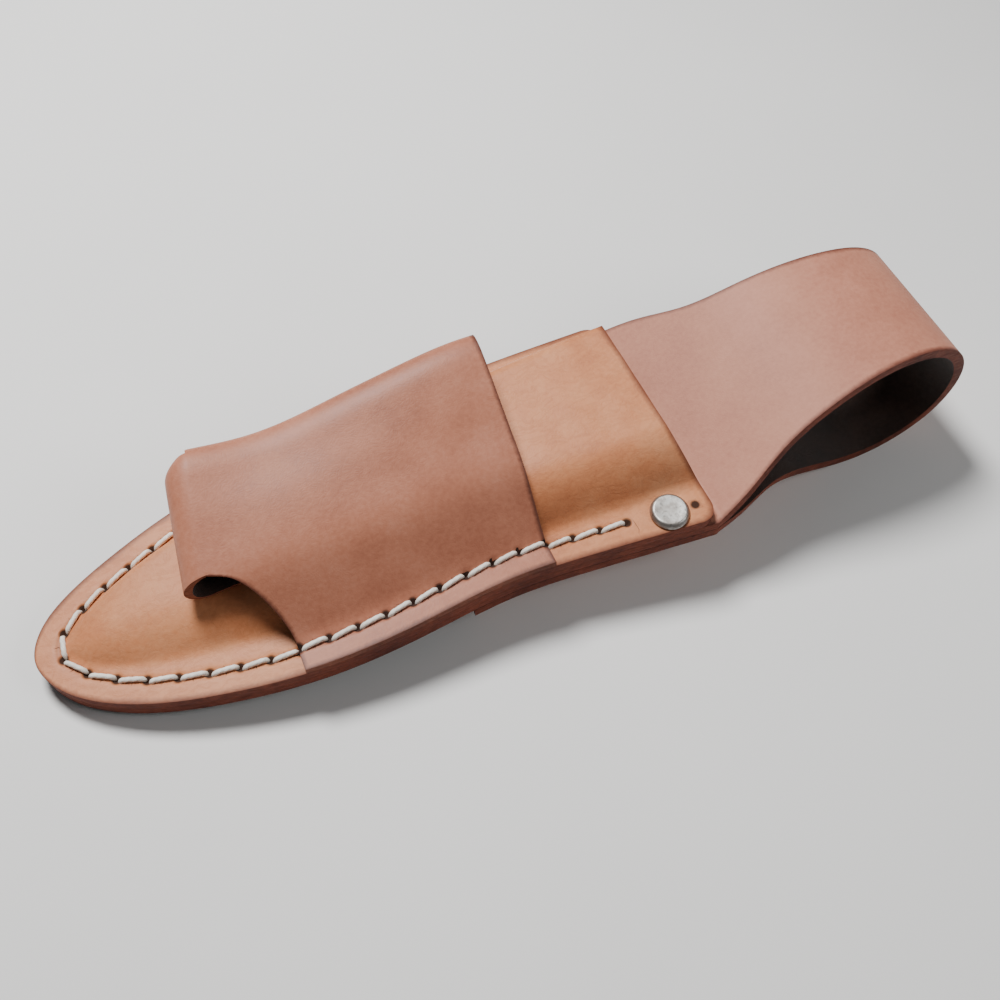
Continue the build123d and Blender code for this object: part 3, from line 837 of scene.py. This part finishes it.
# noise about 0.5 at a scale, in turns to the metre
def noiseAt(tree, where, scale, detail, **more):
    inputs = {"Vector": where, "Scale": scale, "Detail": detail, **more}
    return node(tree, "ShaderNodeTexNoise", inputs).outputs[0]


# Hide's uneven colour: broad clouds, middle-sized blotches and small specks, each from -1 to 1, added.
def hideMottleGroup():
    sizes = (("Clouds", 28.0, 3.0), ("Blotches", 120.0, 4.0), ("Specks", 900.0, 3.0))
    amounts = [(name, "Float", 1.0) for name, _, _ in sizes]
    g, i, o = newGroup("hideMottle", [("Where", "Vector", None)] + amounts, [("Tone", "Float")])
    total = None
    for name, scale, detail in sizes:
        noise = noiseAt(g, i["Where"], scale, detail)
        part = maths(g, "MULTIPLY", remap(g, noise, 0.3, 0.7, -1.0, 1.0), i[name])
        total = part if total is None else maths(g, "ADD", total, part)
    g.links.new(total, o["Tone"])
    return g


# Grain: pebbles from the distance to cell edges, fine creases that run mainly one way, and pores.
def grainGroup():
    amounts = [(name, "Float", 1.0) for name in ("Pebble", "Crease", "Pores", "Scale")]
    g, i, o = newGroup("leatherGrain", [("Where", "Vector", None)] + amounts,
                       [("Height", "Float"), ("Creases", "Float")])
    bent = node(g, "ShaderNodeTexNoise", {"Vector": i["Where"], "Scale": 160.0, "Detail": 2.0})
    push = node(g, "ShaderNodeVectorMath", {0: bent.outputs[1], "Scale": 0.006}, operation="SCALE").outputs[0]
    where = node(g, "ShaderNodeVectorMath", {0: i["Where"], 1: push}, operation="ADD").outputs[0]
    cellScale = maths(g, "MULTIPLY", i["Scale"], 900.0)
    cells = node(g, "ShaderNodeTexVoronoi", {"Vector": where, "Scale": cellScale}, feature="DISTANCE_TO_EDGE")
    pebble = remap(g, cells.outputs[0], 0.0, 0.25)
    along = node(g, "ShaderNodeMapping", {"Vector": where, "Scale": (0.45, 1.6, 1.0)}).outputs[0]
    crease = noiseAt(g, along, 260.0, 5.0, Roughness=0.62)
    ridge = maths(g, "ABSOLUTE", maths(g, "SUBTRACT", crease, 0.5))
    creases = remap(g, ridge, 0.0, 0.055)
    poreScale = maths(g, "MULTIPLY", i["Scale"], 1500.0)
    pores = node(g, "ShaderNodeTexVoronoi", {"Vector": where, "Scale": poreScale}).outputs[0]
    pores = remap(g, pores, 0.0, 0.35)
    height = maths(g, "MULTIPLY", pebble, i["Pebble"])
    for part, amount in ((creases, "Crease"), (pores, "Pores")):
        height = maths(g, "ADD", height, maths(g, "MULTIPLY", part, i[amount]))
    g.links.new(height, o["Height"])
    g.links.new(creases, o["Creases"])
    return g


# Seam: the painted shade of the holes, from the two distances to the nearest one, squared, added and rooted,
# and the shade of the pressed line.
def seamMarksGroup():
    distances = [(name, "Float", seam["away"]) for name in ("Beside", "Across")]
    marks = [("Holes", "Float"), ("Line", "Float")]
    g, i, o = newGroup("seamMarks", distances + [("Hole", "Float", 1.0)], marks)
    squares = [maths(g, "MULTIPLY", i[name], i[name]) for name in ("Beside", "Across")]
    far = maths(g, "SQRT", maths(g, "ADD", *squares))
    g.links.new(remap(g, maths(g, "DIVIDE", far, i["Hole"]), 1.4, 0.9), o["Holes"])
    g.links.new(remap(g, maths(g, "ABSOLUTE", i["Across"]), 1.6, 0.3), o["Line"])
    return g


mottle = hideMottleGroup()
grain = grainGroup()
seamMarks = seamMarksGroup()

hides = {
    # colour, darker and lighter tone, deep tone for the painted shade of creases and of the seam line and for
    # the dark edges, then roughness, varnish, amounts of clouds, blotches and specks, of pebble, crease,
    # pores and their scale, bump, and width of the dark edge
    "front": {"base": (194, 124, 82), "dark": (168, 98, 62), "light": (210, 146, 104), "shadeAndEdgeTone": (98, 46, 27),
              "rough": 0.52, "coat": 0.04, "mottle": (0.45, 0.3, 0.2), "grain": (0.25, 0.45, 0.35, 1.0),
              "bump": 0.20, "edge": 1.7},
    "strap": {"base": (182, 122, 100), "dark": (160, 100, 80), "light": (196, 138, 116), "shadeAndEdgeTone": (88, 42, 32),
              "rough": 0.60, "coat": 0.02, "mottle": (0.35, 0.2, 0.25), "grain": (0.35, 0.12, 0.5, 1.2),
              "bump": 0.13, "edge": 1.4},
    "top": {"base": (170, 108, 83), "dark": (146, 87, 65), "light": (186, 126, 102), "shadeAndEdgeTone": (78, 38, 27),
            "rough": 0.52, "coat": 0.04, "mottle": (0.4, 0.25, 0.25), "grain": (0.5, 0.15, 0.5, 1.1),
            "bump": 0.13, "edge": 1.2},
}
insides = {
    # lighter and darker tone of the flesh side, both darkened with painted shade, and of the cut edges
    "flesh": ((66, 46, 37), (32, 22, 17)),
    "bodyEdge": ((124, 60, 40), (74, 32, 22)),
    "topEdge": ((138, 80, 58), (84, 42, 29)),
    # painted shade inside a seam hole
    "hole": (28, 16, 12),
}
# the two darkest thread tones are painted shade: between the plies and where the thread goes into a hole
waxed = {"dark": (214, 204, 190), "light": (244, 240, 232), "between": (120, 96, 76), "threadHoleShade": (70, 46, 34)}
nickel = {"bright": (205, 203, 198), "dull": (158, 152, 146), "rim": (112, 106, 102), "pit": (90, 84, 80)}


# a material, its nodes, its shader and the place on the object
def newMaterial(name):
    material = bpy.data.materials.new(name)
    material.use_nodes = True
    tree = material.node_tree
    return material, tree, tree.nodes["Principled BSDF"], node(tree, "ShaderNodeTexCoord").outputs["Object"]


# one of the mesh's layers of values
def attribute(tree, name):
    return node(tree, "ShaderNodeAttribute", attribute_name=name).outputs["Fac"]


# bump from a height, into the shader's normal
def addBump(tree, shader, height, strength, depth):
    bump = node(tree, "ShaderNodeBump", {"Height": height, "Strength": strength, "Distance": depth})
    tree.links.new(bump.outputs[0], shader.inputs["Normal"])


# The grain side: the hide's tones, with painted shade in creases, along the seam and in its holes, and darker
# at cut edges.
def grainLeather(name, hide):
    material, tree, shader, where = newMaterial(name)
    clouds, blotches, specks = hide["mottle"]
    tone = place(tree, mottle, Where=where, Clouds=clouds, Blotches=blotches, Specks=specks)["Tone"]
    pebble, crease, pores, scale = hide["grain"]
    skin = place(tree, grain, Where=where, Pebble=pebble, Crease=crease, Pores=pores, Scale=scale)
    marks = place(tree, seamMarks, Beside=attribute(tree, "seamBeside"), Across=attribute(tree, "seamAcross"))
    darker = remap(tree, tone, -1.0, 0.0, 1.0, 0.0)
    colour = blendColour(tree, darker, shade(*hide["base"]), shade(*hide["dark"]))
    colour = blendColour(tree, remap(tree, tone, 0.0, 1.0), colour, shade(*hide["light"]))
    # painted shade in the grain's creases, which are also made rougher
    inCrease = maths(tree, "MULTIPLY", remap(tree, skin["Creases"], 1.0, 0.0), crease * 0.22)
    colour = blendColour(tree, inCrease, colour, shade(*hide["shadeAndEdgeTone"]))
    worn = remap(tree, maths(tree, "ADD", attribute(tree, "edgeNear"), maths(tree, "MULTIPLY", tone, 0.4)),
                 hide["edge"], 0.2, 0.0, 0.85)
    colour = blendColour(tree, worn, colour, shade(*hide["shadeAndEdgeTone"]))
    colour = blendColour(tree, maths(tree, "MULTIPLY", marks["Line"], 0.22), colour, shade(*hide["shadeAndEdgeTone"]))
    # painted shade in the seam's holes
    colour = blendColour(tree, maths(tree, "MULTIPLY", marks["Holes"], 0.93), colour, shade(*insides["hole"]))
    tree.links.new(colour, shader.inputs["Base Color"])
    rough = maths(tree, "ADD", hide["rough"], maths(tree, "MULTIPLY", tone, 0.06))
    rough = maths(tree, "ADD", rough, maths(tree, "MULTIPLY", inCrease, 0.35))
    tree.links.new(maths(tree, "ADD", rough, maths(tree, "MULTIPLY", marks["Holes"], 0.4), True),
                   shader.inputs["Roughness"])
    height = maths(tree, "ADD", skin["Height"], maths(tree, "MULTIPLY", marks["Holes"], -4.0))
    addBump(tree, shader, height, hide["bump"], 0.0002)
    shader.inputs["Coat Weight"].default_value = hide["coat"]
    shader.inputs["Coat Roughness"].default_value = 0.32
    shader.inputs["Specular IOR Level"].default_value = 0.3
    return material


# the flesh side: short matted fibres, in tones darkened with painted shade and uneven at random
def fleshSide(name, base, dark):
    material, tree, shader, where = newMaterial(name)
    tone = place(tree, mottle, Where=where, Clouds=0.5, Blotches=0.5, Specks=0.5)["Tone"]
    pulled = node(tree, "ShaderNodeMapping", {"Vector": where, "Scale": (1.0, 2.6, 1.0)}).outputs[0]
    fibre = noiseAt(tree, pulled, 1800.0, 4.0, Roughness=0.7, Distortion=1.2)
    colour = blendColour(tree, remap(tree, tone, -1.0, 1.0), shade(*dark), shade(*base))
    colour = blendColour(tree, remap(tree, fibre, 0.42, 0.3, 0.0, 0.6), colour, shade(*dark))
    tree.links.new(colour, shader.inputs["Base Color"])
    tree.links.new(remap(tree, fibre, 0.3, 0.7, 0.98, 0.86), shader.inputs["Roughness"])
    addBump(tree, shader, fibre, 0.7, 0.0004)
    shader.inputs["Sheen Weight"].default_value = 0.25
    shader.inputs["Sheen Roughness"].default_value = 0.5
    shader.inputs["Specular IOR Level"].default_value = 0.2
    return material


# a cut and burnished edge: dark, smooth, with fine fibres that run along it
def cutEdge(name, base, dark):
    material, tree, shader, where = newMaterial(name)
    tone = place(tree, mottle, Where=where, Clouds=0.4, Blotches=0.6, Specks=0.5)["Tone"]
    layers = node(tree, "ShaderNodeMapping", {"Vector": where, "Scale": (0.35, 0.35, 2.4)}).outputs[0]
    fibre = noiseAt(tree, layers, 900.0, 4.0)
    colour = blendColour(tree, remap(tree, tone, -1.0, 1.0), shade(*dark), shade(*base))
    colour = blendColour(tree, remap(tree, fibre, 0.5, 0.3, 0.0, 0.7), colour, shade(*dark))
    tree.links.new(colour, shader.inputs["Base Color"])
    tree.links.new(remap(tree, fibre, 0.3, 0.7, 0.78, 0.58), shader.inputs["Roughness"])
    shader.inputs["Specular IOR Level"].default_value = 0.2
    addBump(tree, shader, fibre, 0.35, 0.0003)
    return material


# waxed thread: light, with painted shade between its plies and where it goes into a hole
def threadMaterial():
    material, tree, shader, where = newMaterial("waxedThread")
    tone = place(tree, mottle, Where=where, Clouds=0.4, Blotches=0.5, Specks=0.6)["Tone"]
    fibre = noiseAt(tree, where, 4200.0, 3.0)
    colour = blendColour(tree, remap(tree, tone, -1.0, 1.0), shade(*waxed["dark"]), shade(*waxed["light"]))
    # painted shade between the plies
    between = remap(tree, attribute(tree, "ply"), 0.35, 0.0, 0.0, 0.55)
    colour = blendColour(tree, between, colour, shade(*waxed["between"]))
    # painted shade where the thread goes into a hole
    threadHoleShade = remap(tree, attribute(tree, "outOfHole"), 0.6, 0.1, 0.0, 0.8)
    colour = blendColour(tree, threadHoleShade, colour, shade(*waxed["threadHoleShade"]))
    tree.links.new(colour, shader.inputs["Base Color"])
    tree.links.new(remap(tree, fibre, 0.3, 0.7, 0.5, 0.75), shader.inputs["Roughness"])
    addBump(tree, shader, fibre, 0.4, 0.0002)
    return material


# handled nickel: dull patches, small pits, fine scratches and a darker rim
def rivetMaterial():
    material, tree, shader, where = newMaterial("nickelRivet")
    fine = noiseAt(tree, where, 1300.0, 4.0)
    broad = noiseAt(tree, where, 420.0, 3.0)
    drawn = {"Vector": where, "Scale": (1.0, 0.08, 1.0), "Rotation": (0, 0, 0.6)}
    scratch = noiseAt(tree, node(tree, "ShaderNodeMapping", drawn).outputs[0], 5200.0, 2.0)
    tarnish = remap(tree, broad, 0.4, 0.65)
    colour = blendColour(tree, tarnish, shade(*nickel["bright"]), shade(*nickel["dull"]))
    rim = remap(tree, attribute(tree, "rimNear"), 3.9, 4.5, 0.0, 0.5)
    colour = blendColour(tree, rim, colour, shade(*nickel["rim"]))
    colour = blendColour(tree, remap(tree, fine, 0.58, 0.68, 0.0, 0.5), colour, shade(*nickel["pit"]))
    tree.links.new(colour, shader.inputs["Base Color"])
    shader.inputs["Metallic"].default_value = 1.0
    rough = remap(tree, broad, 0.3, 0.7, 0.38, 0.52)
    rough = maths(tree, "ADD", rough, remap(tree, scratch, 0.6, 0.75, 0.0, 0.14))
    tree.links.new(rough, shader.inputs["Roughness"])
    addBump(tree, shader, maths(tree, "ADD", fine, maths(tree, "MULTIPLY", scratch, 0.5)), 0.12, 0.0002)
    return material


def floorMaterial():
    material, tree, shader, where = newMaterial("paleFloor")
    noise = noiseAt(tree, where, 6.0, 4.0)
    colour = blendColour(tree, remap(tree, noise, 0.3, 0.7), shade(228, 227, 225), shade(234, 233, 231))
    tree.links.new(colour, shader.inputs["Base Color"])
    shader.inputs["Roughness"].default_value = 0.8
    return material


flesh = fleshSide("fleshSide", *insides["flesh"])
edgeOfBody = cutEdge("burnishedEdge", *insides["bodyEdge"])
edgeOfTop = cutEdge("pocketEdge", *insides["topEdge"])
thread = threadMaterial()
metal = rivetMaterial()

buildBackPanel([grainLeather("strapLeather", hides["strap"]), flesh, edgeOfBody])
buildFrontPocket([grainLeather("frontLeather", hides["front"]), flesh, edgeOfBody])
buildTopPocket([grainLeather("topLeather", hides["top"]), flesh, edgeOfTop])
buildStitches("upperStitches", "upper_thread", aboveAt, 1, thread)
buildStitches("lowerStitches", "lower_thread", belowAt, -1, thread)
buildRivetCap(metal)
post = frame["nodes"]["rivet_post"]
post.data.materials.clear()
post.data.materials.append(metal)

# floor, lights and camera

studio = {
    "camera": {"elevation": 60.0, "turn": 25.0, "distance": 277.75, "lens": 40.0},
    # where each light stands in the body frame, its size and its power
    "key": ((-60, 330, 620), 220, 8.2),
    "fill": ((430, -330, 430), 320, 1.1),
    "sky": 0.11,
    "floor": 6.0,         # metres on a side
}


# a round lamp that points at the sheath
def addLight(name, place, size, power):
    data = bpy.data.lights.new(name, "AREA")
    data.shape = "DISK"
    data.size = size * mm
    data.energy = power
    light = bpy.data.objects.new(name, data)
    light.location = toRow(place)
    aim = Vector(toRow((0, 0, 10))) - light.location
    light.rotation_euler = aim.to_track_quat("-Z", "Y").to_euler()
    bpy.context.scene.collection.objects.link(light)


# The camera looks at the body frame's origin, from the distance given, in the direction made by its elevation
# and its turn from that frame's y axis.
def setStage():
    half = studio["floor"] / 2
    mesh = bpy.data.meshes.new("floor")
    corners = [(-half, -half, 0), (half, -half, 0), (half, half, 0), (-half, half, 0)]
    mesh.from_pydata(corners, [], [(0, 1, 2, 3)])
    floor = bpy.data.objects.new("floor", mesh)
    mesh.materials.append(floorMaterial())
    bpy.context.scene.collection.objects.link(floor)
    addLight("key", *studio["key"])
    addLight("fill", *studio["fill"])
    world = bpy.data.worlds.new("studio")
    world.use_nodes = True
    world.node_tree.nodes["Background"].inputs[0].default_value = shade(236, 238, 242)
    world.node_tree.nodes["Background"].inputs[1].default_value = studio["sky"]
    bpy.context.scene.world = world
    view = studio["camera"]
    up, turn = math.radians(view["elevation"]), math.radians(view["turn"])
    back = np.array([-math.sin(turn) * math.cos(up), -math.cos(turn) * math.cos(up), math.sin(up)])
    right = np.array([math.cos(turn), -math.sin(turn), 0])
    axes = np.stack([right, np.cross(back, right), back]) @ bodyAxes
    data = bpy.data.cameras.new("camera")
    data.lens = view["lens"]
    data.sensor_width = 36
    data.clip_start = 0.01
    camera = bpy.data.objects.new("camera", data)
    matrix = Matrix(axes.T.tolist()).to_4x4()
    matrix.translation = Vector(toRow(back * view["distance"]))
    camera.matrix_world = matrix
    bpy.context.scene.collection.objects.link(camera)
    bpy.context.scene.camera = camera
    print("floor, lights and camera set")


setStage()
